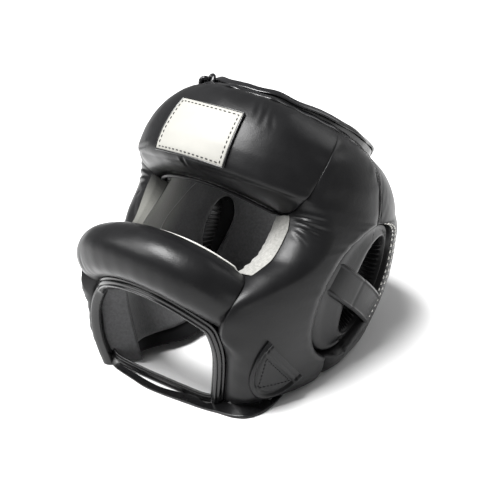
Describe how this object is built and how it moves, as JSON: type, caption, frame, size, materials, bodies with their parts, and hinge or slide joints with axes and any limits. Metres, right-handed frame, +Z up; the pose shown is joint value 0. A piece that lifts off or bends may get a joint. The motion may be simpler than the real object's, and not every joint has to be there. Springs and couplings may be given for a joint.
{
  "type": "boxing headgear with face bar",
  "caption": "Padded leather boxing headgear with a face bar, ear openings, suede lining, laced rim and chin strap, lying tipped back on a table.",
  "frame": {"origin": "the middle of the overall box, on the table the headgear lies on", "axes": "+Z up from the table, -Y the way the face opening looks, +X the wearer's left"},
  "size_m": [0.2194, 0.2928, 0.2388],
  "materials": {
    "black_leather": "satin",
    "gloss_leather": "gloss",
    "suede_lining": "matte",
    "pale_suede": "matte",
    "white_leather": "satin",
    "lace_cord": "satin"
  },
  "bodies": {
    "root": {"forehead_pad": "black_leather", "face_bar": "black_leather", "back_pad": "black_leather", "side_pad_left": "black_leather", "side_pad_right": "black_leather", "ear_roll_left": "black_leather", "ear_roll_right": "black_leather", "ear_strap_left": "black_leather", "ear_strap_right": "black_leather", "jaw_tab_left": "black_leather", "jaw_tab_right": "black_leather", "mouth_binding": "gloss_leather", "rim_binding": "gloss_leather", "chin_strap": "gloss_leather", "chin_strap_top": "gloss_leather", "forehead_lining": "suede_lining", "bar_lining": "suede_lining", "back_lining": "suede_lining", "side_lining_left": "suede_lining", "side_lining_right": "suede_lining", "eye_piping": "pale_suede", "eye_facing_left": "pale_suede", "eye_facing_right": "pale_suede", "forehead_patch": "white_leather", "rim_lace": "lace_cord", "lace_knot": "lace_cord"}
  },
  "joints": []
}
